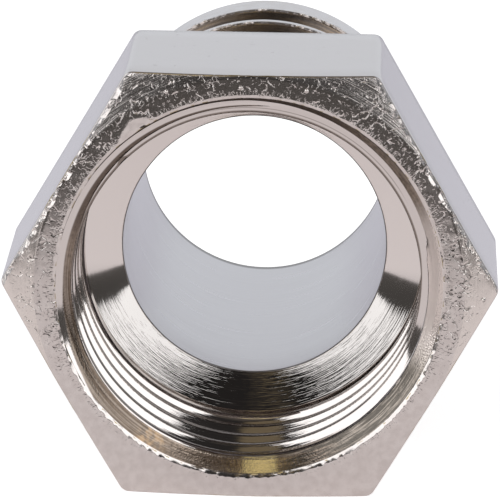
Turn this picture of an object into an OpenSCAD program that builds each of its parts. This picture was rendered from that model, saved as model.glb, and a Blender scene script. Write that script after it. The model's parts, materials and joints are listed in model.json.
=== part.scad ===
// Pipe adapter, turned from hexagon bar and nickel plated. One end is a threaded socket inside the
// hexagon, and the other is a hollow tail with sharp rings that grip a pipe pushed over it.
// It lies on a flat of the hexagon: +Z is up, the mouth of the socket faces -Y, and the origin is
// on the table under the middle of its length.
// All sizes are in millimetres. A depth is measured from the face of the mouth, along the axis.

/* [Hexagon] */
// Distance across the flats, the size of the spanner
hex_af = 24; // [23:0.5:30]
// Length of the hexagon behind the cone of the socket
shoulder_l = 1.8; // [1:0.1:6]
// Rounding of the six long edges
hex_edge_r = 0.6; // [0.2:0.1:1.5]
// Slope of the chamfer that takes the corners off the front face, in degrees
hex_chamfer_deg = 15; // [5:1:35]

/* [Socket] */
// Diameter over the crests of the thread, where they face the axis
crest_d = 19.2; // [18.4:0.1:19.4]
// Diameter at the roots of the thread
root_d = 20.955; // [20.3:0.005:21.3]
// Distance from one crest to the next
thread_pitch = 1.814; // [1.65:0.001:2.4]
// Angle between the two flanks of a turn, in degrees
thread_deg = 55; // [50:1:60]
// Width of a crest, measured along the axis
crest_w = 0.4; // [0.2:0.02:0.5]
// Depth of the middle of the first whole crest
first_crest = 2.45; // [2:0.01:2.7]
// Number of whole crests
crest_count = 4; // [3:1:8]
// Width of the groove behind the last crest, where the tap ran out
runout_w = 1.15; // [0.8:0.05:2]
// Diameter of the countersunk mouth at the front face
mouth_d = 21.5; // [21.4:0.05:22]
// Angle of the tapping drill's point, in degrees
drill_point_deg = 135; // [90:1:150]

/* [Waterway] */
// Diameter of the waterway
bore_d = 15; // [12:0.25:16]
// Bevel where the waterway opens at the end of the tail
bore_bevel = 0.25; // [0.1:0.05:0.5]

/* [Tail] */
// Length of the tail behind the hexagon
tail_l = 23; // [21:0.5:40]
// Diameter of the tail over its rings
tail_d = 18.5; // [18:0.1:20]
// Height of the steep side of a ring
ring_step = 0.75; // [0.3:0.05:0.9]
// Distance from one ring to the next
ring_pitch = 3.7; // [3:0.1:4.5]
// Width of the land on top of a narrow ring
ring_land = 0.6; // [0.3:0.1:1.2]
// Number of narrow rings
ring_count = 3; // [1:1:3]
// Length of the plain land at the end of the tail
end_land = 3.1; // [2:0.1:5]
// Bevel on the outer rim at the end of the tail
end_bevel = 0.45; // [0.2:0.05:0.8]

/* [Hidden] */

$fn = 96;
HEX_SIDES = 6;
// A cut runs this far past a face that it opens
CUT = 1;
NICKEL = [0.78, 0.76, 0.74];

half_af = hex_af / 2;
hex_corner_r = half_af / cos(180 / HEX_SIDES);
crest_r = crest_d / 2;
root_r = root_d / 2;
mouth_r = mouth_d / 2;
bore_r = bore_d / 2;
tail_r = tail_d / 2;

// A flank leans this far along the axis for each millimetre of its height
flank_lean = tan(thread_deg / 2);
flank_l = (root_r - crest_r) * flank_lean;
root_w = thread_pitch - crest_w - 2 * flank_l;
last_crest = first_crest + (crest_count - 1) * thread_pitch;
drill_depth = last_crest + crest_w / 2 + runout_w;
cone_end = drill_depth + (crest_r - bore_r) / tan(drill_point_deg / 2);
hex_l = cone_end + shoulder_l;
overall_l = hex_l + tail_l;
end_land_start = overall_l - end_land;

// The bar seen along its axis, with rounded corners
module hex_outline() {
    inner_r = (half_af - hex_edge_r) / cos(180 / HEX_SIDES);
    circle(r = inner_r, $fn = HEX_SIDES);
    for (i = [0 : HEX_SIDES - 1]) rotate(i * 360 / HEX_SIDES) {
        translate([inner_r, 0]) circle(r = hex_edge_r);
        rotate(180 / HEX_SIDES) translate([0, -inner_r / 2]) square([half_af, inner_r]);
    }
}

// What the chamfer leaves of the front: a cone whose rim touches the middle of each flat
module chamfer_envelope() {
    back_r = hex_corner_r + CUT;
    rotate_extrude() polygon([
        [0, 0],
        [half_af, 0],
        [back_r, (back_r - half_af) * tan(hex_chamfer_deg)],
        [back_r, hex_l + CUT],
        [0, hex_l + CUT]
    ]);
}

module hexagon() {
    intersection() {
        linear_extrude(hex_l) hex_outline();
        chamfer_envelope();
    }
}

// Each ring is steep on the side of the hexagon and slopes towards the end, where the pipe comes on
module tail() {
    foot_r = tail_r - ring_step;
    rings = [for (i = [ring_count : -1 : 1]) end_land_start - i * ring_pitch];
    neck_end = rings[0] - ring_pitch + ring_land;
    rotate_extrude() polygon([
        [0, hex_l - CUT],
        [tail_r, hex_l - CUT],
        [tail_r, neck_end],
        for (y = rings) each [[foot_r, y], [tail_r, y], [tail_r, y + ring_land]],
        [foot_r, end_land_start],
        [tail_r, end_land_start],
        [tail_r, overall_l - end_bevel],
        [tail_r - end_bevel, overall_l],
        [0, overall_l]
    ]);
}

// The space inside: countersunk mouth, thread, run-out, drill point and waterway.
// The thread is drawn as level crests and roots with its true depth, flanks and spacing.
module waterway() {
    crests = [for (i = [0 : crest_count - 1]) first_crest + i * thread_pitch];
    first_root = first_crest - crest_w / 2 - flank_l - root_w;
    // The countersink, at 45 degrees, meets the flank in front of the first root here
    entry_r = (mouth_r - first_root + root_r * flank_lean) / (1 + flank_lean);
    rotate_extrude() polygon([
        [0, -CUT],
        [mouth_r + CUT, -CUT],
        [entry_r, mouth_r - entry_r],
        [root_r, first_root],
        for (y = crests) each [
            [root_r, y - crest_w / 2 - flank_l],
            [crest_r, y - crest_w / 2],
            [crest_r, y + crest_w / 2],
            [root_r, y + crest_w / 2 + flank_l]
        ],
        [crest_r, drill_depth],
        [bore_r, cone_end],
        [bore_r, overall_l - bore_bevel],
        [bore_r + bore_bevel + CUT, overall_l + CUT],
        [0, overall_l + CUT]
    ]);
}

// The adapter stood on its mouth, with its axis upright
module adapter() {
    difference() {
        union() {
            hexagon();
            tail();
        }
        waterway();
    }
}

module adapter_body() {
    color(NICKEL) translate([0, -overall_l / 2, half_af]) rotate([-90, 0, 0]) adapter();
}

adapter_body();
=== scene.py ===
# %% [markdown]
# # Pipe adapter
# The real thing is one piece of hexagon bar, turned, tapped and nickel plated. One end is a
# threaded socket, the other a hollow tail with sharp rings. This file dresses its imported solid
# with a finer mesh, a nickel finish and a plain studio. The frame comes first: it gives the
# solid's box and the sizes of its mounts, and everything below is worked out from them.

import json
import math
import random

import bmesh
import bpy
import numpy as np
from mathutils import Matrix, Vector


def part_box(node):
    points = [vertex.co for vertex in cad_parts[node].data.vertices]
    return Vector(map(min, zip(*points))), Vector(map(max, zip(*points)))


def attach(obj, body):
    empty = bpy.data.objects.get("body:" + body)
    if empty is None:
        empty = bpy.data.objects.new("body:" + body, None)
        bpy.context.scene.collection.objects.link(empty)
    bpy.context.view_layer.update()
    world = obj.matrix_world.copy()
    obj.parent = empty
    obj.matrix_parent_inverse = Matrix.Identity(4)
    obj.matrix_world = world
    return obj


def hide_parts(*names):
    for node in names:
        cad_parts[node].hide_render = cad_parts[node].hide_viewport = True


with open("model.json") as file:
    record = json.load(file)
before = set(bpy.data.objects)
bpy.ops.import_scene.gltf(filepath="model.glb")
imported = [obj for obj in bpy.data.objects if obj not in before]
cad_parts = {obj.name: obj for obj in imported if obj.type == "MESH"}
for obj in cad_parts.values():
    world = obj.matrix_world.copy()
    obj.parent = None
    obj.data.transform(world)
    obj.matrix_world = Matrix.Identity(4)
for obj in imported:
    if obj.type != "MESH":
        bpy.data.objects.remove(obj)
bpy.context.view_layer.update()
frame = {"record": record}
MM = 0.001
low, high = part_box("adapter_body")
mounts = {m["name"]: m for m in frame["record"]["mounts"]}
print("frame loaded, box in mm:", [round(v / MM, 2) for v in (*low, *high)])

# %% [markdown]
# ## Sizes
# A point of the adapter is told by three numbers, as a turner would: its depth from the face of
# the mouth, its radius from the axis, and its clock angle, which runs clockwise for someone who
# looks into the mouth, from 0 on the right through 90 at the bottom. A right-hand thread goes
# deeper as that angle grows. All sizes here are in millimetres, and the mesh is turned into
# metres at the end.

# %% Main sizes, from the frame
HALF_AF = (high.z - low.z) / 2 / MM
AXIS_Z = (high.z + low.z) / 2 / MM
MOUTH_Y = low.y / MM
OVERALL_L = (high.y - low.y) / MM
HEX_L = mounts["shoulder"]["pos_m"][1] / MM - MOUTH_Y
CREST_R = mounts["female_thread"]["dims"]["r_mm"]
TAIL_R = mounts["tail"]["dims"]["r_mm"]
print(f"hexagon {2 * HALF_AF:.2f} by {HEX_L:.2f}, overall {OVERALL_L:.2f}")
print(f"crests {CREST_R:.3f}, tail {TAIL_R:.3f}")

# %% [markdown]
# The frame doesn't tell the sizes of the thread's turns, the drill and the rings. They are given
# here with the same values as in the source of the solid, so that the skin lies on it.

# %% Sizes of the socket
ROOT_R = 10.4775
PITCH = 1.814
THREAD_DEG = 55
FLANK_LEAN = math.tan(math.radians(THREAD_DEG / 2))
CREST_W = 0.4
LAST_CREST = 7.892
RUNOUT_W = 1.15
DRILL_POINT_DEG = 135
BORE_R = 7.5
DRILL_DEPTH = LAST_CREST + CREST_W / 2 + RUNOUT_W
CONE_END = DRILL_DEPTH + (CREST_R - BORE_R) / math.tan(math.radians(DRILL_POINT_DEG / 2))
print(f"drill wall ends at {DRILL_DEPTH:.3f}, its cone at {CONE_END:.3f}")

# %% Sizes of the hexagon and the tail
HEX_EDGE_R = 0.6
CHAMFER_DEG = 15
CHAMFER_SLOPE = math.tan(math.radians(CHAMFER_DEG))
RING_STEP = 0.75
RING_PITCH = 3.7
RING_LAND = 0.6
RING_COUNT = 3
END_LAND = 3.1
END_BEVEL = 0.45
BORE_BEVEL = 0.25
foot_r = TAIL_R - RING_STEP
land_start = OVERALL_L - END_LAND
ring_starts = [land_start - i * RING_PITCH for i in range(RING_COUNT, 0, -1)]
neck_end = ring_starts[0] - RING_PITCH + RING_LAND
print("rings start at", [round(s, 2) for s in ring_starts])

# %% [markdown]
# ## Columns
# The whole skin is one grid, rolled up like a sleeve: columns run round the axis and rows run
# along the outline of its section, into the socket, out along the waterway and back over the
# tail and the hexagon. A grid makes one closed skin without any boolean, and its rows can follow
# the thread. The columns stand closer at the six corners, so that each rounded edge is an arc.

# %% Clock angles of the columns
HEX_SIDES = 6
SECTOR_DEG = 60
HALF_SECTOR = math.radians(SECTOR_DEG / 2)
CORNER_STEPS = 6
FLAT_STEPS = 69
corner_centre = (HALF_AF - HEX_EDGE_R) / math.cos(HALF_SECTOR)
arc_end = math.degrees(math.atan2(
    HEX_EDGE_R / 2, corner_centre + HEX_EDGE_R * math.cos(HALF_SECTOR)))
sector = np.concatenate([
    np.linspace(-arc_end, arc_end, CORNER_STEPS, endpoint=False),
    np.linspace(arc_end, SECTOR_DEG - arc_end, FLAT_STEPS, endpoint=False)])
clock = np.concatenate([sector + SECTOR_DEG * k for k in range(HEX_SIDES)] + [[360 - arc_end]])
print("columns:", len(clock) - 1)


def hexagon_radius(degrees):
    """How far the bar's outline is from its axis."""
    off = np.radians((degrees + SECTOR_DEG / 2) % SECTOR_DEG - SECTOR_DEG / 2)
    flat = HALF_AF / np.cos(HALF_SECTOR - np.abs(off))
    inside = np.maximum(HEX_EDGE_R ** 2 - (corner_centre * np.sin(off)) ** 2, 0)
    corner = corner_centre * np.cos(off) + np.sqrt(inside)
    return np.where(np.abs(off) < math.radians(arc_end), corner, flat)


hex_r = hexagon_radius(clock)

# %% [markdown]
# ## Rounding an outline
# No edge of a real turned part is perfectly sharp, and an edge with no rounding catches no
# light. A Bevel modifier could round them, but it stops at the next row of faces, and here the
# rows stand closer than most roundings are wide. So the rounding is worked out with the rows. An
# outline is a list of points, each with a depth, a radius, the size of its rounding and the number
# of rows to put before the next point. Depths and radii may differ from column to column, which is
# how the hexagon and its chamfer come from the same few lines as the round tail.

# %% Turn an outline into rows
ROUND_STEPS = 3
# A rounding takes at most this share of the shorter side beside its corner
ROUND_SHARE = 0.45
TINY = 1e-9
rows = []


def rounded(corner, before, after, size):
    """The rows of the short curve that takes the place of a corner."""
    back, ahead = before - corner, after - corner
    back_l = np.linalg.norm(back, axis=-1, keepdims=True)
    ahead_l = np.linalg.norm(ahead, axis=-1, keepdims=True)
    reach = np.minimum(size, ROUND_SHARE * np.minimum(back_l, ahead_l))
    first = corner + back / np.maximum(back_l, TINY) * reach
    last = corner + ahead / np.maximum(ahead_l, TINY) * reach
    shares = np.linspace(0, 1, ROUND_STEPS + 1)
    return [(1 - t) ** 2 * first + 2 * t * (1 - t) * corner + t * t * last for t in shares]


def outline(points):
    """Adds a row for each point of an outline, with rounded corners and rows in between."""
    spots = [np.stack([np.broadcast_to(depth, clock.shape), np.broadcast_to(radius, clock.shape)],
                      axis=-1).astype(float) for depth, radius, _, _ in points]
    before, filled = None, 0
    for i, (spot, (_, _, size, between)) in enumerate(zip(spots, points)):
        turn = [spot]
        if size is not None and 0 < i < len(points) - 1:
            turn = rounded(spot, spots[i - 1], spots[i + 1], size)
        for t in np.linspace(0, 1, filled + 2)[1:-1]:
            rows.append(before * (1 - t) + turn[0] * t)
        rows.extend(turn)
        before, filled = turn[-1], between


# %% [markdown]
# ## The wall of the socket
# The thread could be cut with a boolean, but that leaves long thin faces that shade badly. Here
# the wall is a rule instead: a radius for every depth and clock angle. The tap left ridges along a
# right-hand helix, a little off the axis, because it ran slightly askew. Deep inside, the grooves
# grow shallow, where the tap ran out.

# %% What the tap left
# The middle of the first ridge lies this deep at the bottom, from where the helix is counted
FIRST_RIDGE = 1.0
BOTTOM = 90
# At the mouth the tap's axis lies this far to the left and below, and its crests this far out
TAP_LEFT, TAP_LOW = 0.22, 0.11
CREST_EXTRA = 0.07
# Between these depths the grooves run out
FADE_START, FADE_END = 7.3, 9.1
# The first groove is this much deeper, and between these depths the extra depth goes
FLARE = 0.12
FLARE_START, FLARE_END = 0.5, 1.5
# Depth at which the groove in front of the first ridge opens, by clock angle
OPEN_CLOCK = (90, 140, 175, 200, 230, 250, 270, 300, 345, 360)
OPEN_DEPTHS = (0.75, 0.13, 0.13, 0.14, 0.18, 0.205, 0.26, 0.43, 0.64, 1.10)


def smooth(value, start, end):
    """0 below start, 1 above end, and a smooth rise between."""
    t = np.clip((value - start) / (end - start), 0, 1)
    return t * t * (3 - 2 * t)


def first_ridge(degrees):
    """Depth of the middle of the first ridge."""
    return FIRST_RIDGE + PITCH * (degrees - BOTTOM) / 360


def tapped_wall(depth, degrees):
    askew = 1 - np.clip(depth / DRILL_DEPTH, 0, 1)
    angle = np.radians(degrees)
    shift = askew * (TAP_LOW * np.sin(angle) - TAP_LEFT * np.cos(angle) + CREST_EXTRA)
    ridge = first_ridge(degrees)
    off = np.abs((depth - ridge + PITCH / 2) % PITCH - PITCH / 2)
    open_from = np.interp(degrees, OPEN_CLOCK, OPEN_DEPTHS)
    off = np.where((depth > open_from) & (depth < ridge - PITCH / 2), PITCH / 2, off)
    flare = FLARE * (1 - smooth(depth, FLARE_START, FLARE_END))
    rise = np.clip((off - CREST_W / 2) / FLANK_LEAN, 0, ROOT_R - CREST_R + flare)
    return CREST_R + shift + rise * (1 - smooth(depth, FADE_START, FADE_END))


# %% [markdown]
# The countersink came after the tap. It cut the first turn down in steps and pushed a lip of metal
# over the first groove. A wall cut twice is the wider of the two, and metal that was pushed in is
# the narrower, so the three rules are joined with a minimum and a maximum. Three small dents are
# added as round hollows or bumps, which costs less than sculpting them.

# %% What the countersink left
RIM_DEPTH = 0.09
RIM_R = 10.74
STEP_DEPTHS = (RIM_DEPTH, 0.70, 0.78, 1.05, 1.25)
STEP_RADII = (RIM_R, 10.03, 9.90, 9.86, 9.40)
CUT_SLOPE = (STEP_RADII[0] - STEP_RADII[1]) / (STEP_DEPTHS[1] - STEP_DEPTHS[0])
# The lip by clock angle: the depths of its start and its end, and how far it has gone
LIP_CLOCK = (-16, 0, 90, 135, 150, 165, 180, 200, 230, 270, 300)
LIP_STARTS = (0, 0, 0, 0.05, 0.31, 0.44, 0.55, 0.55, 0.53, 0.56, 0.61)
LIP_ENDS = (0.70, 0.72, 0.75, 0.78, 0.84, 0.88, 0.88, 0.76, 0.60, 0.575, 0.62)
LIP_FADE = (0, 0, 0, 0, 0, 0, 0, 0, 0, 0.15, 0.8)
LIP_GONE = 2.0
# Radius of the lip's inner edge, and how far its back falls away for each mm of depth
LIP_R = 9.9
LIP_BACK = 2.5
# Clock angle, depth, half-widths in degrees and in mm, and how far the wall is pushed out
DENTS = ((223.5, 1.42, 1.5, 0.09, 0.20), (345.0, 0.72, 0.7, 0.07, 0.14),
         (32.9, 0.76, 1.0, 0.05, -0.07))


def countersunk_wall(depth):
    return np.interp(depth, STEP_DEPTHS, STEP_RADII)


def lip_wall(depth, degrees):
    """The rolled lip of metal in the first groove: solid between its start and its end."""
    around = (degrees - LIP_CLOCK[0]) % 360 + LIP_CLOCK[0]
    start, end, fade = (np.interp(around, LIP_CLOCK, v) for v in (LIP_STARTS, LIP_ENDS, LIP_FADE))
    fade = np.where(around > LIP_CLOCK[-1], LIP_GONE, fade)
    tip = np.where(depth < start, countersunk_wall(start), LIP_R)
    before, after = np.maximum(start - depth, 0), np.maximum(depth - end, 0)
    return tip + before / FLANK_LEAN + after * LIP_BACK + fade


def socket_wall(depth, degrees):
    left = np.minimum(tapped_wall(depth, degrees), lip_wall(depth, degrees))
    wall = np.maximum(left, countersunk_wall(depth))
    for at, deep, turn, along, push in DENTS:
        wall = wall + push * np.exp(-((degrees - at) / turn) ** 2 - ((depth - deep) / along) ** 2)
    return wall


# %% [markdown]
# ## Rows along the helix
# Level rows would cross the ridges and leave them jagged, so each row follows the helix: it goes
# one pitch deeper in a full turn. The rows of a turn aren't evenly spread. They stand closer where
# the wall bends, so that every edge is crisp with few faces. Each turn has its own number of rows,
# more near the mouth, where the camera looks. The rows that fall outside the socket are laid on
# its rim or its floor, and are welded away later.

# %% Rows of the thread
TURN_ROWS = (34, 32, 17, 15, 15, 14, 8)
# The first of these turns starts this many pitches in front of the first ridge
TURNS_BEFORE = 1.5
# Step in mm at which the wall is worked out, and how far it goes past both ends
FINE, SPARE = 0.005, 0.1
# Blur that rounds the wall's edges, in mm, and how many steps it reaches to each side
EDGE_BLUR, BLUR_REACH = 0.014, 12
# How strongly a bend draws rows near, the sharpest bend that counts, and places tried in a turn
BEND_SHARE, BEND_MAX, PLACES = 0.06, 60, 181
# A row this close to the rim or the floor is laid on it
SNAP = 0.006


def thread_rows():
    depth = np.arange(RIM_DEPTH - SPARE, DRILL_DEPTH + SPARE, FINE)
    reach = np.arange(-BLUR_REACH, BLUR_REACH + 1)
    kernel = np.exp(-0.5 * (reach * FINE / EDGE_BLUR) ** 2)
    kernel /= kernel.sum()
    starts = np.concatenate([[0], np.cumsum(TURN_ROWS)])
    made = np.zeros((starts[-1] + 1, len(clock), 2))
    for c, degrees in enumerate(clock):
        padded = np.pad(socket_wall(depth, degrees), BLUR_REACH, mode="edge")
        wall = np.convolve(padded, kernel, mode="valid")
        bend = np.abs(np.gradient(np.gradient(wall, FINE), FINE))
        weight = 1 + BEND_SHARE * np.minimum(bend, BEND_MAX)
        held = made[:, c, 0]
        for i, count in enumerate(TURN_ROWS):
            near = first_ridge(degrees) + (i - TURNS_BEFORE) * PITCH
            places = near + np.linspace(0, PITCH, PLACES)
            load = np.cumsum(np.interp(places, depth, weight))
            load = (load - load[0]) / (load[-1] - load[0])
            held[starts[i]:starts[i + 1] + 1] = np.interp(
                np.linspace(0, 1, count + 1), load, places)
        held[held < RIM_DEPTH + SNAP] = RIM_DEPTH
        held[held > DRILL_DEPTH - SNAP] = DRILL_DEPTH
        made[:, c, 1] = np.interp(held, depth, wall)
        made[held <= RIM_DEPTH, c, 1] = RIM_R
        made[held >= DRILL_DEPTH, c, 1] = CREST_R
    return list(made)


# %% [markdown]
# ## The whole outline
# The rows are laid in the order in which a finger would follow the section: over the rim, down
# the thread, across the drill's cone, along the waterway, round the end, back up the rings and
# the neck, up the shoulder, along the hexagon and in over the front face to the rim again.

# %% Rows of the socket, the waterway and the end
CONE_EDGE = 0.06
BORE_EDGE = 0.04
END_EDGE = 0.05
# Rows this far apart keep the end land flat beside its bevel
LAND_ROW = 0.1
rows.extend(thread_rows())
thread_count = len(rows)
print("rows of the thread:", thread_count)
outline([
    (DRILL_DEPTH, CREST_R, None, 1),
    (CONE_END, BORE_R, CONE_EDGE, 5),
    (OVERALL_L - BORE_BEVEL, BORE_R, BORE_EDGE, 0),
    (OVERALL_L, BORE_R + BORE_BEVEL, BORE_EDGE, 1),
    (OVERALL_L, TAIL_R - END_BEVEL, END_EDGE, 0),
    (OVERALL_L - END_BEVEL, TAIL_R, END_EDGE, 0),
    (OVERALL_L - END_BEVEL - LAND_ROW, TAIL_R, None, 0),
])
print("rows to the end of the tail:", len(rows))

# %% [markdown]
# Each ring of the tail is steep on the side of the hexagon and slopes towards the end, so that a
# pipe slides on but not off. The lathe left beads of burr on the sharp edges. A bead could be a
# bump in the finish, but it shows against the background, so it is in the mesh. One row on the
# land and one on the steep side stand at the foot of the beads, so that only the edge moves, and
# one more keeps their shading off the rest of the steep side.

# %% Rows of the tail
RING_EDGE = 0.05
# Distance of the foot rows from the edge, and of the last row from them
BURR_FOOT = 0.16
BURR_STEP = 0.03
# A bead rises this much for each mm that it stands out along the axis
BURR_RISE = 0.5
# Clock angles of the beads
LAND_BURRS = (60, 104, 151, 203, 242, 246, 268.5, 284, 288.5, 292.5, 296, 298)
RING_BURRS = (33, 97, 170, 216, 252, 254, 256.5, 264, 283, 321)


def burrs(angles, size=0.15, turn=0.8):
    """Beads of metal that stand on an edge at these clock angles, in mm."""
    return sum(size * np.exp(-((clock - at) / turn) ** 2) for at in angles)


def steep_side(start, burr_angles):
    """The steep side that faces the hexagon, from the land's edge down to the foot."""
    proud = burrs(burr_angles)
    return [(start + BURR_FOOT, TAIL_R, None, 0),
            (start - proud, TAIL_R + proud * BURR_RISE, RING_EDGE, 0),
            (start, TAIL_R - BURR_FOOT, None, 0),
            (start, TAIL_R - BURR_FOOT - BURR_STEP, None, 0),
            (start, foot_r, None, 0)]


tail_points = steep_side(land_start, LAND_BURRS)
for start in reversed(ring_starts):
    tail_points += [(start + RING_LAND, TAIL_R, RING_EDGE, 0), *steep_side(start, RING_BURRS)]
print("points of the tail:", len(tail_points))

# %% [markdown]
# The front face is flat but for one V-shaped nick, and its inner rim is ragged with burrs. Both
# change the outline of the mouth, which a finish can't do, so they are in the mesh too: the nick
# as a rule for the depth, and the rim as rows with a small random step in each column.

# %% The nick and the ragged rim
EDGE = 0.15
# Rows of the flat face, from this far inside its chamfer down to this radius
FRONT_ROWS, FRONT_INSET, FACE_R = 12, 0.08, 10.99
# The nick's clock angle and outermost radius, and the slopes of its bottom, outline and sides
NICK_CLOCK, NICK_APEX_R, NICK_SLOPE, NICK_SPREAD, NICK_SIDE = 234.3, 11.5, 0.118, 2.0, 0.6
# Extra depth, radius and raggedness of the rows round the mouth
RIM_ROWS = ((0.0, 10.93, 0.018), (0.0, 10.90, 0.03), (0.004, 10.89, 0.03))
# Depth, radius and raggedness of the row below the rim
UNDER_RIM = (0.055, 10.79, 0.028)
RAGGED_SEED = 11
# No step is larger than this many times the usual one
RAGGED_MOST = 2
# Burrs of the upper half are this share of the lower half's, and change over these sines
UPPER_BURRS = 0.35
UPPER_TO_LOWER = (-0.2, 0.3)


def nick(radius):
    """Depth of the V-shaped nick that something hard left in the front face."""
    inward = NICK_APEX_R - radius
    aside = np.abs(clock - NICK_CLOCK) * math.pi / 180 * radius
    side = (inward - aside / NICK_SPREAD) * NICK_SIDE
    return np.clip(np.minimum(inward * NICK_SLOPE, side), 0, None)


def ragged(size):
    """A random step for each column, for the burrs on the rim."""
    random.seed(RAGGED_SEED)
    steps = np.array([random.gauss(0, size) for _ in clock])
    lower = smooth(np.sin(np.radians(clock)), *UPPER_TO_LOWER)
    steps = np.clip(steps, -RAGGED_MOST * size, RAGGED_MOST * size)
    steps = steps * (UPPER_BURRS + (1 - UPPER_BURRS) * lower)
    steps[-1] = steps[0]
    return steps


# %% Rows of the tail, the hexagon and the front face
ROOT_EDGE = 0.1
chamfer_depth = (hex_r - HALF_AF + EDGE) * CHAMFER_SLOPE
front_radii = np.linspace(HALF_AF - EDGE - FRONT_INSET, FACE_R, FRONT_ROWS)
under_depth, under_r, under_size = UNDER_RIM
outline([
    (OVERALL_L - END_BEVEL - 2 * LAND_ROW, TAIL_R, None, 2),
    *tail_points,
    (neck_end, TAIL_R, RING_EDGE, 0),
    (HEX_L, TAIL_R, ROOT_EDGE, 0),
    (HEX_L, hex_r, EDGE, 5),
    (chamfer_depth, hex_r, EDGE, 4),
    (0, HALF_AF - EDGE, None, 0),
    *[(nick(radius), radius, None, 0) for radius in front_radii],
    *[(nick(radius) + deep, radius + ragged(size), None, 0) for deep, radius, size in RIM_ROWS],
    (under_depth, under_r + ragged(under_size), None, 0),
])
print("rows in all:", len(rows))

# %% [markdown]
# ## Building the mesh
# The rows become one array of points. Neighbouring rows are joined by four-sided faces, and the
# last row by the first. Down the thread, the last column meets the first one turn further on,
# where the rows stand at other depths, so triangles join those two. Points that fall together,
# along the seam and where a row has run out, are welded, which leaves one closed skin.

# %% Place the points and join the seam
def place(depth, radius, degrees):
    """Metres in the row frame for a depth, a radius and a clock angle."""
    angle = np.radians(degrees)
    return np.stack([radius * np.cos(angle), MOUTH_Y + depth,
                     AXIS_Z - radius * np.sin(angle)], axis=-1) * MM


def seam_faces(grid, number, count):
    """Joins the thread's last column to its first, whose rows stand at other depths."""
    last, first = number[:count, -2], number[:count, 0]
    last_depths, first_depths = (np.append(grid[1:count, column, 0], np.inf) for column in (-2, 0))
    i, j, made = 0, 0, []
    while i + j < 2 * (count - 1):
        if last_depths[i] < first_depths[j]:
            made.append((last[i], last[i + 1], first[j]))
            i += 1
        else:
            made.append((last[i], first[j + 1], first[j]))
            j += 1
    return [tuple(int(n) for n in face) for face in made]


def grid_faces(grid, count):
    """The four-sided faces of the grid and the triangles of its seam, as numbers of points."""
    number = np.arange(grid.shape[0] * grid.shape[1]).reshape(grid.shape[:2])
    here, after = number, np.roll(number, -1, axis=0)
    faces = np.stack([here[:, :-1], here[:, 1:], after[:, 1:], after[:, :-1]], axis=-1)
    return [*faces[:, :-1].reshape(-1, 4).tolist(), *faces[count - 1:, -1].tolist(),
            *seam_faces(grid, number, count)]


# %% Weld the skin
WELD = 2e-7


def skin(name, rows, seam_count):
    grid = np.array(rows)
    points = place(grid[..., 0], grid[..., 1], clock)
    mesh = bpy.data.meshes.new(name)
    mesh.from_pydata(points.reshape(-1, 3).tolist(), [], grid_faces(grid, seam_count))
    work = bmesh.new()
    work.from_mesh(mesh)
    bmesh.ops.remove_doubles(work, verts=work.verts, dist=WELD)
    bmesh.ops.dissolve_degenerate(work, edges=work.edges, dist=WELD)
    bmesh.ops.recalc_face_normals(work, faces=work.faces)
    open_edges = sum(1 for e in work.edges if len(e.link_faces) != 2)
    volume = work.calc_volume()
    work.to_mesh(mesh)
    work.free()
    print(f"{name}: {len(mesh.polygons)} faces, open or shared edges {open_edges}, "
          f"volume {volume / MM ** 3:.1f} mm3")
    piece = bpy.data.objects.new(name, mesh)
    bpy.context.scene.collection.objects.link(piece)
    return piece


adapter = skin("nickel_adapter", rows, thread_count)

# %% [markdown]
# Smooth shading hides the faces of the round walls, and edges over 50 degrees stay sharp. The
# large flats would still look bent beside their rounded edges, so a Weighted Normal modifier lets
# the larger faces lead. The last lines tie the skin to the solid that it stands for.

# %% Shade the skin and tie it to the solid
SHARP_DEG = 50
mesh = adapter.data
mesh.shade_smooth()
mesh.set_sharp_from_angle(angle=math.radians(SHARP_DEG))
flatter = adapter.modifiers.new("flat_faces_stay_flat", "WEIGHTED_NORMAL")
flatter.keep_sharp = True
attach(adapter, "root")
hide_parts("adapter_body")
print("sharp edges:", sum(1 for edge in mesh.edges if edge.use_edge_sharp))

# %% [markdown]
# ## Wiring a finish
# A finish is a small network of shader nodes. Written out node by node it is hard to read, so one
# small class wraps an output socket and lets values be added, multiplied and compared with plain
# Python signs. One method makes every other node from its type, its settings and its inputs.

# %% The wiring class
# A Mix node has its own sockets for colours, at these places
COLOUR_A, COLOUR_B, COLOUR_RESULT = 6, 7, 2


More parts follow.
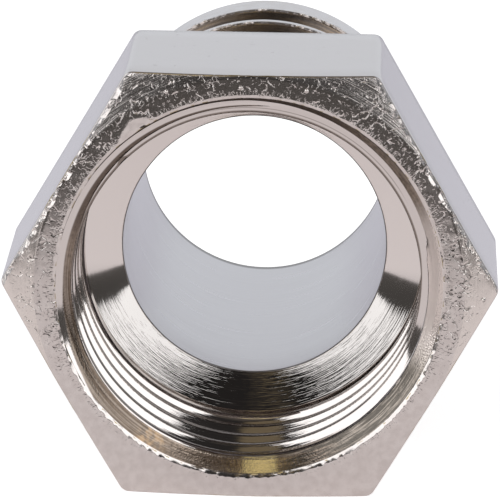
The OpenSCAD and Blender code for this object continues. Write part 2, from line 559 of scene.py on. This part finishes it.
class Wire:
    """An output of a node, which can stand in a sum."""

    def __init__(self, tree, socket):
        self.tree, self.socket = tree, socket

    @classmethod
    def node(cls, tree, kind, settings=None, inputs=None, output=0):
        made = tree.nodes.new(kind)
        for key, value in (settings or {}).items():
            setattr(made, key, value)
        for key, value in (inputs or {}).items():
            if isinstance(value, cls):
                tree.links.new(value.socket, made.inputs[key])
            else:
                made.inputs[key].default_value = value
        return cls(tree, made.outputs[output])

    def math(self, operation, *values):
        return Wire.node(self.tree, "ShaderNodeMath", {"operation": operation},
                         dict(enumerate(values)))

    def __add__(self, other):
        return self.math("ADD", self, other)

    def __radd__(self, other):
        return self.math("ADD", other, self)

    def __sub__(self, other):
        return self.math("SUBTRACT", self, other)

    def __rsub__(self, other):
        return self.math("SUBTRACT", other, self)

    def __mul__(self, other):
        return self.math("MULTIPLY", self, other)

    def __rmul__(self, other):
        return self.math("MULTIPLY", other, self)

    def __truediv__(self, other):
        return self.math("DIVIDE", self, other)

    def __rtruediv__(self, other):
        return self.math("DIVIDE", other, self)

    def __pow__(self, other):
        return self.math("POWER", self, other)

    def __rpow__(self, other):
        return self.math("POWER", other, self)

    def output(self, name):
        """Another output of the same node."""
        return Wire(self.tree, self.socket.node.outputs[name])

    def size(self):
        """The value without its sign."""
        return self.math("ABSOLUTE", self)

    def largest(self, other):
        return self.math("MAXIMUM", self, other)

    def above(self, start, end):
        """0 below start, 1 above end, and a smooth rise between."""
        return Wire.node(self.tree, "ShaderNodeMapRange", {"interpolation_type": "SMOOTHSTEP"},
                         {"Value": self, "From Min": start, "From Max": end})

    def below(self, start, end):
        """1 below start, 0 above end, and a smooth fall between."""
        return 1 - self.above(start, end)

    def mixed(self, first, second):
        """A colour between two others, by this value."""
        return Wire.node(self.tree, "ShaderNodeMix", {"data_type": "RGBA"},
                         {"Factor": self, COLOUR_A: first, COLOUR_B: second},
                         output=COLOUR_RESULT)


# %% [markdown]
# ## Nickel
# Bright nickel is a warm silver metal. Its colour hardly changes over the part, and what the eye
# reads as its surface is small slopes: drawing lines on the flats, rings left by the drill, and
# the dents that the parts gave each other in the plating barrel. Painted images could show them,
# but noise needs no unwrapping and stays sharp at any distance. Every pattern is told in the
# turner's terms, so that a mark can be put where the photo has it.

# %% A point of the surface, in the turner's terms
NICKEL = (0.60, 0.565, 0.55, 1)
DEGREES = 180 / math.pi
# The length of a streak is meant at this radius
STREAK_R = 9.0


class Spot:
    """The shaded point, and the noise patterns from which the finishes are made."""

    def __init__(self, tree):
        where = Wire.node(tree, "ShaderNodeTexCoord", output="Object")
        x = Wire.node(tree, "ShaderNodeSeparateXYZ", inputs={0: where})
        self.tree = tree
        self.x = x / MM
        self.depth = x.output("Y") / MM - MOUTH_Y
        self.up = x.output("Z") / MM - AXIS_Z
        self.radius = (self.x * self.x + self.up * self.up) ** 0.5
        self.clock = self.x.math("ARCTAN2", 0 - self.up, self.x) * DEGREES

    def noise(self, x, y, z, w=0.0, detail=1.0, distortion=0.0):
        at = Wire.node(self.tree, "ShaderNodeCombineXYZ", inputs={0: x, 1: y, 2: z})
        return Wire.node(self.tree, "ShaderNodeTexNoise", {"noise_dimensions": "4D"},
                         {"Vector": at, "W": w, "Scale": 1.0, "Detail": detail,
                          "Distortion": distortion})

    def grain(self, size, seed=0.0, detail=1.0, distortion=0.0):
        """Noise with spots of about this size in mm."""
        return self.noise(self.x / size, self.depth / size, self.up / size,
                          seed, detail, distortion)

    def streaks(self, across, along, detail=2.0):
        """Noise drawn out round the axis, as a turning or drilling tool leaves it."""
        turn = STREAK_R / along
        return self.noise(self.x / self.radius * turn, self.up / self.radius * turn,
                          self.radius / across, self.depth / across, detail)

    def towards(self, degrees):
        """How far the point is from the axis in the direction of a clock angle, in mm."""
        angle = math.radians(degrees)
        return self.x * math.cos(angle) - self.up * math.sin(angle)

    def away(self, degrees):
        """How many degrees the point is from a clock angle."""
        cosine = self.towards(degrees) / self.radius
        return cosine.math("ARCCOSINE", cosine) * DEGREES


def metal(name, look):
    """A metal finish: look(spot) gives its colour, its roughness and its height in mm."""
    finish = bpy.data.materials.new(name)
    finish.use_nodes = True
    tree = finish.node_tree
    shader = tree.nodes["Principled BSDF"]
    shader.inputs["Metallic"].default_value = 1.0
    colour, roughness, height = look(Spot(tree))
    for socket, value in (("Base Color", colour), ("Roughness", roughness)):
        if isinstance(value, Wire):
            tree.links.new(value.socket, shader.inputs[socket])
        else:
            shader.inputs[socket].default_value = value
    bump = Wire.node(tree, "ShaderNodeBump", inputs={"Strength": 1.0, "Distance": MM,
                                                     "Height": height})
    tree.links.new(bump.socket, shader.inputs["Normal"])
    return finish


# %% [markdown]
# ## Front face
# The front face has the strongest marks. Many small parts tumbled against it, and their corners
# left short, worm-like dents that are thickest round the mouth. Lines where a soft noise passes
# its middle value wind in the same way, and a second noise breaks them into short pieces. The
# upper side edges are torn, and beads of burr stand at the side corners and above the mouth.

# %% Marks of the front face
# Beads of burr: to the right of the axis, above it, and their radius
BEADS = ((12.95, -0.50, 0.17), (11.90, 1.00, 0.14), (12.15, 1.55, 0.12), (11.35, 3.10, 0.12),
         (-12.2, 1.2, 0.11), (3.0, 11.2, 0.13), (-0.6, 11.3, 0.12), (-4.7, 11.0, 0.12))
# Clock angles of the two flats whose front edges are torn, and how far in they are
TORN_FLATS = (210, 330)
TORN_WIDTH = 0.34


def worms(spot, size, seed):
    """Short winding lines. Their width and distance grow with the size, in mm."""
    wander = spot.grain(size, seed, detail=1.5, distortion=0.1)
    line = (wander - 0.5).size().below(0.005, 0.034)
    return line * spot.grain(size * 0.7, seed + 1.5).above(0.51, 0.60)


def bold_dents(spot):
    """A few wide dents on both sides of the mouth, about as high as the axis."""
    wander = spot.grain(0.8, seed=11.0, detail=1.5, distortion=0.6)
    line = (wander - 0.5).size().below(0.01, 0.045)
    piece = spot.grain(0.5, seed=12.5).above(0.5, 0.57)
    level = spot.up.below(2.5, 5.0) * spot.up.above(-3.5, -1.5)
    return line * piece * level * spot.radius.below(12.1, 12.4)


def torn_edges(spot):
    """How far the point lies inside a torn edge, in mm."""
    left, right = (spot.towards(flat) for flat in TORN_FLATS)
    edge = HALF_AF - left.largest(right)
    torn = spot.grain(0.6, seed=6.0, detail=2.0).above(0.32, 0.56) * TORN_WIDTH - edge
    return torn.largest(0.0)


def bead_heights(spot):
    height = 0.0
    for x, up, size in BEADS:
        far = ((spot.x - x) ** 2 + (spot.up - up) ** 2) ** 0.5
        height = height + far.below(0.0, size) * size
    return height


# %% Finish of the front face
FRONT_DARK, FRONT_LIGHT = (0.55, 0.51, 0.495, 1), (0.62, 0.585, 0.57, 1)
SIDE_CHAMFER = (0.70, 0.655, 0.625, 1)
DIRT = (0.16, 0.14, 0.13, 1)
# Size, seed and depth of the two sorts of worm-like dents
COARSE_WORMS, COARSE_DEEP = (0.70, 0.0), 0.021
FINE_WORMS, FINE_DEEP = (0.30, 4.0), 0.006
# Fine radial hairs beside the rim: how dense round the axis and along the radius, and how deep
HAIRS_ROUND, HAIRS_ALONG, HAIRS_DEEP = 110, 3, 0.012
BOLD_DEEP = 0.03
# Heights of soft waves, above and everywhere, and of turning lines, at the sides and everywhere
WAVES_UPPER, WAVES = 0.010, 0.002
TURNED_SIDES, TURNED = 0.012, 0.014
# How steeply the torn edges fall and the beads rise
TEAR_SLOPE, BEAD_SLOPE = 0.55, 0.6
FRONT_ROUGH, CHAMFER_ROUGHER = 0.15, 0.06


def dented_front(spot):
    upper = spot.up.above(-6.5, -1.0)
    chamfered = spot.depth.above(0.01, 0.03) * spot.radius.above(11.8, 12.0)
    beside = spot.up.size().below(3.5, 5.5)
    nicked = spot.depth.above(0.002, 0.008) * spot.radius.below(11.5, 11.6)
    coarse, bold = worms(spot, *COARSE_WORMS), bold_dents(spot)
    marks = coarse * COARSE_DEEP + worms(spot, *FINE_WORMS) * FINE_DEEP
    ring = 1 - spot.radius.above(12.4, 13.4) * (1 - spot.up.above(5.0, 7.0) * 0.8)
    hairs = spot.noise(spot.x / spot.radius * HAIRS_ROUND, spot.up / spot.radius * HAIRS_ROUND,
                       spot.radius * HAIRS_ALONG).above(0.52, 0.64)
    dents = (marks * ring * (upper * 0.93 + 0.07)
             + hairs * spot.radius.below(10.95, 11.3) * HAIRS_DEEP)
    turned = spot.streaks(0.06, 2.0) * chamfered
    height = (dents * (nicked - 1) + spot.grain(0.9, seed=2.0) * (upper * WAVES_UPPER + WAVES)
              - bold * BOLD_DEEP + turned * (beside * TURNED_SIDES + TURNED)
              - torn_edges(spot) * TEAR_SLOPE + bead_heights(spot) * BEAD_SLOPE)
    shade = spot.grain(0.5, seed=9.0, detail=3.0).above(0.3, 0.7)
    colour = shade.mixed(FRONT_DARK, FRONT_LIGHT)
    colour = (chamfered * beside * 0.8).mixed(colour, SIDE_CHAMFER)
    side_ring = upper * spot.up.below(1.0, 4.0) * (1 - chamfered)
    colour = (coarse * side_ring * 0.6 + bold * 0.4).mixed(colour, DIRT)
    return colour, FRONT_ROUGH + CHAMFER_ROUGHER * chamfered, height


# %% [markdown]
# ## Flats and tail
# The hexagon was drawn through a die, so its flats carry faint straight lines along the axis, a
# few pits, and a trace of bare brass where the front edge was struck. The tail was turned, so its
# lines run round it. The steep sides of its rings are painted darker as painted shade, and their
# burrs get a painted glint.

# %% Finish of the flats
BARE_BRASS = (0.34, 0.28, 0.17, 1)
# Distance of the drawing lines, and their length, in mm
LINE_APART, LINE_LONG = 0.12, 4
LINE_DEEP, PIT_DEEP, WAVE_DEEP = 0.002, 0.03, 0.01
FLAT_ROUGH, PIT_ROUGHER = 0.2, 0.1


def drawn_flats(spot):
    lines = spot.noise(spot.x / LINE_APART, spot.depth / LINE_LONG, spot.up / LINE_APART,
                       detail=2.0)
    pits = spot.grain(0.4, seed=3.0, detail=2.0).above(0.69, 0.74)
    worn = spot.depth.below(0.09, 0.2) * spot.grain(0.8, seed=6.0).above(0.4, 0.55)
    height = lines * LINE_DEEP - pits * PIT_DEEP + spot.grain(1.5, seed=1.0) * WAVE_DEEP
    return worn.mixed(NICKEL, BARE_BRASS), FLAT_ROUGH + PIT_ROUGHER * pits, height


# %% Finish of the tail
TAIL_DARK, TAIL_LIGHT = (0.58, 0.54, 0.52, 1), (0.61, 0.58, 0.57, 1)
# Painted shade on the steep sides of the rings, and a painted glint on their burrs
STEP_SHADE_DARK, STEP_SHADE_LIGHT = (0.27, 0.24, 0.22, 1), (0.46, 0.38, 0.30, 1)
PAINTED_BURR_GLINT = (0.78, 0.75, 0.73, 1)
TURNING_DEEP, TORN_DEEP = 0.005, 0.05
TAIL_ROUGH, BURR_ROUGHER = 0.20, 0.2


def turned_tail(spot):
    torn, step, proud = 0.0, 0.0, 0.0
    for edge in (land_start, *ring_starts):
        before = edge - spot.depth
        torn = torn + before.size().below(0.08, 0.16)
        step = step + before.size().below(0.02, 0.05)
        proud = proud + before.above(0.02, 0.05) * before.below(0.25, 0.30)
    rim = spot.radius.above(TAIL_R - 0.20, TAIL_R - 0.10)
    torn, step, proud = torn * rim, step * (1 - rim), proud * rim
    height = (spot.streaks(0.15, 10.0) * TURNING_DEEP
              + torn * spot.grain(0.3, seed=5.0) * TORN_DEEP)
    colour = spot.grain(0.7, seed=8.0).above(0.35, 0.65).mixed(TAIL_DARK, TAIL_LIGHT)
    # The steep sides get painted shade in two dark tones, and the burrs a painted glint
    patchy_tone = spot.streaks(0.12, 2.0).above(0.35, 0.65).mixed(STEP_SHADE_DARK, STEP_SHADE_LIGHT)
    colour = proud.mixed(step.mixed(colour, patchy_tone), PAINTED_BURR_GLINT)
    return colour, TAIL_ROUGH + proud * BURR_ROUGHER, height


# %% [markdown]
# ## Cone and waterway
# The drill left two looks: rings so fine on its cone that they blur what it mirrors along one
# way only, and a duller, greyer wall in the waterway, where chips rubbed. The cone could be made
# with an anisotropic shader, but a bump of fine rings does the same and bakes like any other.

# %% Finish of the cone
CONE_PALE, CONE_DARK = (0.66, 0.625, 0.61, 1), (0.47, 0.45, 0.44, 1)
CONE_BROWN = (0.30, 0.24, 0.19, 1)
# Width of the worn band where the cone opens into the waterway
WORN_WIDTH = 0.9
FINE_RINGS, WIDE_RINGS, WORN_DEEP = 0.014, 0.012, 0.03
CONE_ROUGH = 0.06


def drilled_cone(spot):
    low_half = 1 - spot.up.above(-5.0, -2.2) * 0.92
    rings = spot.streaks(0.06, 2.2) * FINE_RINGS + spot.streaks(0.2, 1.8) * WIDE_RINGS
    brown = spot.radius.below(BORE_R + 0.03, BORE_R + 0.11) * spot.up.below(3.5, 6.0)
    brown = brown * spot.grain(0.3, seed=5.0).above(0.32, 0.5)
    inward = BORE_R + WORN_WIDTH - spot.radius
    worn = inward.largest(0.0) ** 2 * spot.up.above(0.0, 3.0)
    # Painted reflection: the cone is painted paler above and darker below
    shade = spot.up.below(-3.0, -1.0).mixed(CONE_PALE, CONE_DARK)
    shade = (brown * 0.7).mixed(shade, CONE_BROWN)
    return shade, CONE_ROUGH, rings * low_half + worn * WORN_DEEP


# %% Finish of the waterway
BORE_GREY, BORE_DARK = (0.61, 0.59, 0.595, 1), (0.10, 0.085, 0.075, 1)
BORE_RINGS, BORE_GRAIN = 0.016, 0.003
BORE_ROUGH, RINGS_ROUGHER = 0.24, 0.1


def dull_waterway(spot):
    rings = spot.streaks(0.3, 8.0)
    near = spot.depth.below(CONE_END + 0.05, CONE_END + 0.2)
    far = spot.depth.above(OVERALL_L - 1.0, OVERALL_L - 0.6)
    # Painted shade: the waterway is painted dark just past the cone and near its far end
    shade = (near * 0.6 + far * 0.9).mixed(BORE_GREY, BORE_DARK)
    height = rings * BORE_RINGS + spot.grain(0.3, seed=2.0) * BORE_GRAIN
    return shade, BORE_ROUGH + RINGS_ROUGHER * rings, height


# %% [markdown]
# ## Socket
# In the socket the flanks are the brightest metal of all. The crests carry a painted dark brown
# reflection, and thin painted shade lines run along the flanks. The countersink is rough and
# brownish, with bare brass in one place. Its stains, a painted shadow and a painted warm reflection
# are painted one over the other, each within some degrees of a clock angle.

# %% Stains, a painted shadow and a painted reflection on the countersink
# Clock angle of a patch's middle, and how far from it, in degrees, it starts to fade and has gone
PATCHES = {"grey": (38, 18, 30), "left": (150, 25, 50), "brass": (121, 2.5, 6.0),
           "yellow": (86, 4.0, 6.5), "right": (52, 22, 34), "pale": (358, 16, 30),
           "dark": (247, 45, 62)}
BROWN_DARK, BROWN_LIGHT = (0.18, 0.145, 0.12, 1), (0.34, 0.275, 0.225, 1)
GREY_BROWN, OIL_BROWN = (0.30, 0.28, 0.255, 1), (0.085, 0.062, 0.045, 1)
# YELLOW is a painted warm reflection, and SHADOW a painted shadow
BRASS, YELLOW = (0.36, 0.25, 0.155, 1), (0.72, 0.65, 0.46, 1)
SCRAPED, SHADOW = (0.52, 0.46, 0.41, 1), (0.075, 0.068, 0.06, 1)
CLEAN, TARNISH = (0.68, 0.62, 0.59, 1), (0.09, 0.07, 0.06, 1)


def near_patch(spot, name):
    """1 in a patch of the countersink, 0 outside it."""
    middle, full, gone = PATCHES[name]
    return spot.away(middle).below(full, gone)


def countersink_colour(spot, grey):
    flecks = spot.grain(0.4, seed=7.0).above(0.35, 0.6)
    drawn = spot.streaks(0.09, 6.0).above(0.45, 0.62)
    dashes = spot.streaks(0.07, 1.2).above(0.50, 0.58)
    patchy_tone = spot.grain(0.22, seed=1.0, detail=3.0).above(0.3, 0.7)
    layers = ((grey * 0.5, GREY_BROWN),
              (near_patch(spot, "left") * 0.75, OIL_BROWN),
              (near_patch(spot, "brass") * flecks * 0.75, BRASS),
              # painted warm reflection
              (near_patch(spot, "yellow") * 0.8, YELLOW),
              (drawn * (0.3 + grey * 0.3), SCRAPED),
              # painted shadow, broken by dashes
              (near_patch(spot, "right") * (1 - dashes * 0.7) * 0.85, SHADOW),
              (near_patch(spot, "pale") * 0.85, CLEAN),
              (near_patch(spot, "dark") * 0.8, TARNISH))
    colour = patchy_tone.mixed(BROWN_DARK, BROWN_LIGHT)
    for share, paint in layers:
        colour = share.mixed(colour, paint)
    return colour


# %% Finish of the socket
RUN_OUT_BROWN = (0.33, 0.26, 0.20, 1)
# Painted dark reflection on the crests, and painted shade lines on the flanks
PAINTED_SHADE_BROWN = (0.14, 0.11, 0.09, 1)
# Distance from the middle of a ridge, in mm, at which a thin painted shade line runs along each
# flank
SHADE_LINE_OFF = 0.36
# The painted shade lines show only within some degrees of this clock angle
SHADE_LINE_CLOCK = 292
FLANK_LINES, CUT_DEEP, CREST_DEEP = 0.006, 0.024, 0.016
FLANK_ROUGH, CUT_ROUGHER, CREST_ROUGHER = 0.07, 0.12, 0.1


def socket_stains_and_painted_light(spot):
    turns = spot.depth - FIRST_RIDGE - (spot.clock - BOTTOM) * (PITCH / 360)
    off = turns.math("WRAP", turns, PITCH / 2, -PITCH / 2).size()
    upper = spot.up.above(-1.0, 3.0)
    crest = (off - upper * 0.05).below(0.20, 0.24) * spot.depth.below(8.15, 8.5)
    shade_line = (off - SHADE_LINE_OFF).size().below(0.008, 0.02)
    shade_line = shade_line * spot.away(SHADE_LINE_CLOCK).below(30, 42)
    cone = (spot.radius + (spot.depth - RIM_DEPTH) * CUT_SLOPE - RIM_R).size()
    cut = cone.below(0.03, 0.07) * spot.depth.below(0.8, 1.0) * spot.depth.above(0.1, 0.14)
    run_out = spot.depth.above(8.3, 8.6)
    grey = near_patch(spot, "grey")
    shade = cut.mixed(NICKEL, countersink_colour(spot, grey))
    shade = (run_out * 0.6).mixed(shade, RUN_OUT_BROWN)
    # Painted dark reflection on the crests and painted shade lines on the flanks, outside the
    # countersink
    shade = ((crest * 0.85 + shade_line * 0.5) * (1 - cut)).mixed(shade, PAINTED_SHADE_BROWN)
    height = (spot.streaks(0.10, 3.0) * FLANK_LINES
              + cut * (0.4 + grey * 0.6) * spot.grain(0.10, seed=2.0) * CUT_DEEP
              + crest * (1 - cut) * spot.grain(0.1, seed=3.0) * CREST_DEEP)
    return shade, FLANK_ROUGH + CUT_ROUGHER * cut + CREST_ROUGHER * crest, height


# %% [markdown]
# ## Which face gets which finish
# Each face of the skin gets the finish of the tool that made it, told by where the face lies and
# which way it looks. Painting the faces by hand would do as well, but not after a change of size.

# %% Give each face its finish
FINISHES = {"nickel_front": dented_front, "nickel_flats": drawn_flats,
            "nickel_tail": turned_tail, "nickel_cone": drilled_cone,
            "nickel_waterway": dull_waterway, "nickel_socket": socket_stains_and_painted_light}
# How far past an edge, in mm, the middle of a face may lie
NEAR = 0.01
CONE_NEAR = 0.03
# The front face and its chamfer lie within this depth and look forward
FRONT_DEPTH = 1
FORWARD = -0.8


def finish_of(face):
    depth = face.center.y / MM - MOUTH_Y
    radius = math.hypot(face.center.x / MM, face.center.z / MM - AXIS_Z)
    if depth > CONE_END - CONE_NEAR and radius < BORE_R + BORE_BEVEL:
        return "nickel_waterway"
    if DRILL_DEPTH < depth < CONE_END and radius < CREST_R:
        return "nickel_cone"
    if depth < DRILL_DEPTH + NEAR and radius < RIM_R + NEAR:
        return "nickel_socket"
    if depth < FRONT_DEPTH and face.normal.y < FORWARD:
        return "nickel_front"
    return "nickel_tail" if depth > HEX_L - EDGE else "nickel_flats"


for name, look in FINISHES.items():
    mesh.materials.append(metal(name, look))
finish_names = list(FINISHES)
counts = dict.fromkeys(finish_names, 0)
for face in mesh.polygons:
    named = finish_of(face)
    face.material_index = finish_names.index(named)
    counts[named] += 1
print("faces by finish:", counts)

# %% [markdown]
# ## Floor
# The adapter lies on a pale table top. Its front edge is close in front of the mouth, and past it
# the room is dark: the upper half of the front face looks over that edge, and its lower half
# looks at the table. White paint alone would come out grey under these panels, so a glow is added
# to it. For the camera the glow is even and makes the table white. In what the metal mirrors it is
# warm in front and bluish behind, as the reflections in the photo suggest.

# %% Table top
TABLE_FRONT = 0.059
TABLE_WIDE = 1.2
TABLE_LONG = 1.5
TABLE_PAINT = (0.8, 0.8, 0.8, 1)
TABLE_SHOWN = (0.62, 0.62, 0.62, 1)
TABLE_NEAR = (0.30, 0.24, 0.235, 1)
TABLE_BEHIND = (0.15, 0.15, 0.22, 1)
# The mirrored colour changes between these places along the axis, in metres
CHANGE_START, CHANGE_END = -0.02, 0.05


def table_top():
    front = (MOUTH_Y * MM) - TABLE_FRONT
    corners = [(-TABLE_WIDE / 2, front, 0), (TABLE_WIDE / 2, front, 0),
               (TABLE_WIDE / 2, front + TABLE_LONG, 0), (-TABLE_WIDE / 2, front + TABLE_LONG, 0)]
    flat = bpy.data.meshes.new("table_top")
    flat.from_pydata(corners, [], [(0, 1, 2, 3)])
    piece = bpy.data.objects.new("table_top", flat)
    bpy.context.scene.collection.objects.link(piece)
    return piece


def seen_directly_or_in_metal(tree):
    """1 for the camera, and for what metal and glass show."""
    direct, mirrored, through = (
        Wire.node(tree, "ShaderNodeLightPath", output=name)
        for name in ("Is Camera Ray", "Is Glossy Ray", "Is Transmission Ray"))
    return direct.largest(mirrored).largest(through)


def paint_table(piece):
    finish = bpy.data.materials.new("table_white")
    finish.use_nodes = True
    tree = finish.node_tree
    tree.nodes.remove(tree.nodes["Principled BSDF"])
    paint = Wire.node(tree, "ShaderNodeBsdfDiffuse", inputs={"Color": TABLE_PAINT})
    where = Wire.node(tree, "ShaderNodeNewGeometry", output="Position")
    along = Wire.node(tree, "ShaderNodeSeparateXYZ", inputs={0: where}, output="Y")
    mirrored = along.above(CHANGE_START, CHANGE_END).mixed(TABLE_NEAR, TABLE_BEHIND)
    direct = Wire.node(tree, "ShaderNodeLightPath", output="Is Camera Ray")
    shown = direct.mixed(mirrored, TABLE_SHOWN)
    glow = Wire.node(tree, "ShaderNodeEmission",
                     inputs={"Color": shown, "Strength": seen_directly_or_in_metal(tree)})
    both = Wire.node(tree, "ShaderNodeAddShader", inputs={0: paint, 1: glow})
    tree.links.new(both.socket, tree.nodes["Material Output"].inputs["Surface"])
    piece.data.materials.append(finish)


table = table_top()
paint_table(table)
print(f"table top: {TABLE_WIDE} by {TABLE_LONG} m, {TABLE_FRONT / MM:.0f} mm in front of the mouth")

# %% [markdown]
# ## Light
# Two large soft panels stand left and right of the camera. Small lamps would leave hard white
# spots on bright metal, while a panel shows in it as a calm, pale area. The camera doesn't see
# the panels themselves.

# %% Soft panels
PANEL_FAR = 0.9


def panel(name, azimuth, elevation, wide, tall, radiance):
    """A soft panel that looks at the adapter. Azimuth is from the camera's side, to the right."""
    a, e = math.radians(azimuth), math.radians(elevation)
    away = Vector((math.sin(a) * math.cos(e), -math.cos(a) * math.cos(e), math.sin(e)))
    light = bpy.data.lights.new(name, "AREA")
    light.shape = "RECTANGLE"
    light.size, light.size_y = wide, tall
    light.energy = radiance * math.pi * wide * tall
    lamp = bpy.data.objects.new(name, light)
    lamp.location = away * PANEL_FAR
    lamp.rotation_euler = away.to_track_quat("Z", "Y").to_euler()
    lamp.visible_camera = False
    bpy.context.scene.collection.objects.link(lamp)
    print(f"{name}: {light.energy:.2f} W")


panel("panel_left", azimuth=-60, elevation=29.5, wide=1.02, tall=0.86, radiance=1.8)
panel("panel_right", azimuth=47, elevation=29.0, wide=0.72, tall=0.88, radiance=1.8)

# %% [markdown]
# ## The room
# Bright metal is mostly what it mirrors. Behind the adapter the room is white. Above it and on the
# camera's side it is dark, which gives the nickel its dark bands, and a small warm lamp on an arm
# gives it a trace of yellow. An environment picture could hold all this, but a few mixed colours
# are plain to read and to change. The camera itself sees a white background.

# %% The room
ROOM_LOW = (0.105, 0.098, 0.092, 1)
ROOM_FRONT = (0.028, 0.026, 0.025, 1)
ROOM_BEHIND = (0.80, 0.83, 0.88, 1)
ROOM_ABOVE = (0.165, 0.14, 0.12, 1)
ROOM_LIGHT = (0.35, 0.35, 0.35, 1)
WHITE = (1, 1, 1, 1)
# Between these values of a direction's height, or of how far it points ahead, a colour changes
LOW_TO_FRONT, FRONT_TO_BEHIND, BEHIND_TO_ABOVE = (0.0, 0.3), (-0.15, 0.35), (0.72, 0.84)
# The lamp and its arm: their direction, the cosines between which they fade in, and their glow
LAMPS = (((-0.127, -0.380, 0.916), (0.985, 0.994), (0.95, 0.80, 0.45, 1)),
         ((-0.145, -0.750, 0.645), (0.991, 0.996), (0.20, 0.16, 0.10, 1)))


def room():
    world = bpy.data.worlds.new("studio")
    bpy.context.scene.world = world
    world.use_nodes = True
    tree = world.node_tree
    way = Wire.node(tree, "ShaderNodeTexCoord", output="Generated")
    ahead = Wire.node(tree, "ShaderNodeSeparateXYZ", inputs={0: way}, output="Y")
    up = ahead.output("Z")
    seen = up.above(*LOW_TO_FRONT).mixed(ROOM_LOW, ROOM_FRONT)
    seen = ahead.above(*FRONT_TO_BEHIND).mixed(seen, ROOM_BEHIND)
    seen = up.above(*BEHIND_TO_ABOVE).mixed(seen, ROOM_ABOVE)
    for lamp_way, fade, glow in LAMPS:
        aim = Wire.node(tree, "ShaderNodeVectorMath", {"operation": "DOT_PRODUCT"},
                        {0: way, 1: lamp_way}, output="Value")
        seen = aim.above(*fade).mixed(seen, glow)
    camera_ray = Wire.node(tree, "ShaderNodeLightPath", output="Is Camera Ray")
    shown = camera_ray.mixed(seen, WHITE)
    colour = seen_directly_or_in_metal(tree).mixed(ROOM_LIGHT, shown)
    tree.links.new(colour.socket, tree.nodes["Background"].inputs["Color"])
    print("nodes in the room's finish:", len(tree.nodes))


room()

# %% [markdown]
# ## Camera
# The photograph was taken with a long lens from a little above, along the axis. The camera stands
# where a fit of the hexagon's edges, the mouth and the waterway puts it. Its direction is given
# by angles round the adapter, which are easier to compare with the photo than a rotation.

# %% Camera
CAMERA_AZIMUTH = 1.498
CAMERA_ELEVATION = 13.962
CAMERA_ROLL = 0.786
CAMERA_FAR = 310.39
AIM_RIGHT, AIM_HEIGHT = 0.015, 14.174
LENS, SENSOR = 405.2, 36
CLIP_START, CLIP_END = 0.01, 20


def camera():
    a, e, r = (math.radians(v) for v in (CAMERA_AZIMUTH, CAMERA_ELEVATION, CAMERA_ROLL))
    back = Vector((math.sin(a) * math.cos(e), -math.cos(a) * math.cos(e), math.sin(e)))
    level = Vector((math.cos(a), math.sin(a), 0))
    right = level * math.cos(r) + back.cross(level) * math.sin(r)
    turn = Matrix((right, back.cross(right), back)).transposed()
    lens = bpy.data.cameras.new("camera")
    lens.lens, lens.sensor_width = LENS, SENSOR
    lens.clip_start, lens.clip_end = CLIP_START, CLIP_END
    eye = bpy.data.objects.new("camera", lens)
    aim = Vector((AIM_RIGHT, MOUTH_Y, AIM_HEIGHT)) * MM
    eye.matrix_world = Matrix.Translation(aim + back * CAMERA_FAR * MM) @ turn.to_4x4()
    bpy.context.scene.collection.objects.link(eye)
    return eye


bpy.context.scene.camera = camera()
bpy.context.scene.view_settings.view_transform = "Standard"
print(f"camera: {CAMERA_FAR:.0f} mm from the mouth, {LENS:.0f} mm lens")
